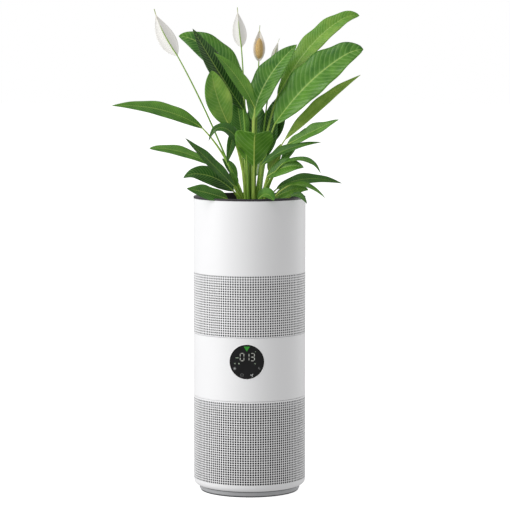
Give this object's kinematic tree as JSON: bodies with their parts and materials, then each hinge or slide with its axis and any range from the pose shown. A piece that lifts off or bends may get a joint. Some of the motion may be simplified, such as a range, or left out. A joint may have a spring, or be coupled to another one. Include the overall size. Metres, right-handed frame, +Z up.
{
  "type": "air purifier",
  "caption": "Round tower air purifier with perforated intake and outlet bands, a round touch display and a lift-out plant pot in its top.",
  "frame": {"origin": "centre of the underside, on the floor under the tower's axis", "axes": "+Z up along the tower's axis; the display faces -Y; +X is to its right as seen from the front"},
  "size_m": [0.4906, 0.2343, 0.9491],
  "materials": {
    "white_shell": "satin",
    "foot_grey": "satin",
    "rubber_dark": "matte",
    "pot_charcoal": "matte",
    "soil": "matte",
    "leaf_green": "satin",
    "stalk_green": "satin",
    "spathe_white": "satin",
    "spadix_cream": "matte",
    "display_glass": "gloss",
    "black_plastic": "matte",
    "inner_plastic": "matte",
    "impeller_plastic": "satin",
    "diffusing_plastic": "satin",
    "steel": "satin",
    "bearing_steel": "polished",
    "copper": "gloss",
    "magnet": "satin",
    "circuit_board": "satin",
    "components": "satin",
    "filter_paper": "matte",
    "carbon": "matte",
    "prefilter_mesh": "matte",
    "filter_cap": "matte",
    "foam": "matte",
    "silicone": "satin"
  },
  "bodies": {
    "housing": {"upper_shell": "white_shell", "control_band": "white_shell", "lower_shell": "white_shell", "foot_ring": "foot_grey", "rubber_foot": "rubber_dark", "strike_plates": "steel", "filter_cage": "inner_plastic", "foot_screws": "steel", "fan_deck": "inner_plastic", "inlet_bellmouth": "inner_plastic", "fan_casing": "inner_plastic", "diffuser": "inner_plastic", "motor_housing": "steel", "motor_end_cap": "steel", "motor_bearings": "bearing_steel", "motor_stator": "steel", "stator_windings": "copper", "motor_screws": "steel", "outlet_guard": "black_plastic", "motor_cover": "inner_plastic", "air_deflector": "black_plastic", "planter_basin": "black_plastic", "lip_gasket": "silicone", "display_lens": "display_glass", "display_frame": "black_plastic", "display_board": "circuit_board", "light_guide": "diffusing_plastic", "touch_springs": "steel", "main_board": "circuit_board", "board_parts": "components", "board_screws": "steel", "particle_sensor": "components", "dc_inlet": "black_plastic"},
    "rotor": {"impeller": "impeller_plastic", "motor_shaft": "bearing_steel", "rotor_magnet": "magnet", "impeller_nut": "copper"},
    "filter": {"filter_media": "filter_paper", "carbon_core": "carbon", "prefilter_sleeve": "prefilter_mesh", "filter_bottom_cap": "filter_cap", "filter_top_cap": "filter_cap", "filter_seal": "foam"},
    "filter_cover": {"filter_cover": "foot_grey", "cover_magnets": "magnet"},
    "grow_pot": {"grow_pot": "pot_charcoal", "soil": "soil", "leaves_right": "leaf_green", "leaves_left": "leaf_green", "leaves_centre": "leaf_green", "flower_stalks": "stalk_green", "flower_spathes": "spathe_white", "flower_spadices": "spadix_cream"}
  },
  "joints": [
    {"name": "impeller_spin", "type": "hinge", "parent": "housing", "child": "rotor", "pos_m": [0, 0, 0.22], "axis": [0, 0, 1], "continuous": true},
    {"name": "grow_pot_lift", "type": "slide", "parent": "housing", "child": "grow_pot", "axis": [0, 0, 1], "range_m": [0, 0.14]},
    {"name": "filter_drop", "type": "slide", "parent": "housing", "child": "filter", "axis": [0, 0, -1], "range_m": [0, 0.18]},
    {"name": "cover_pull", "type": "slide", "parent": "filter", "child": "filter_cover", "axis": [0, 0, -1], "range_m": [0, 0.05]}
  ]
}
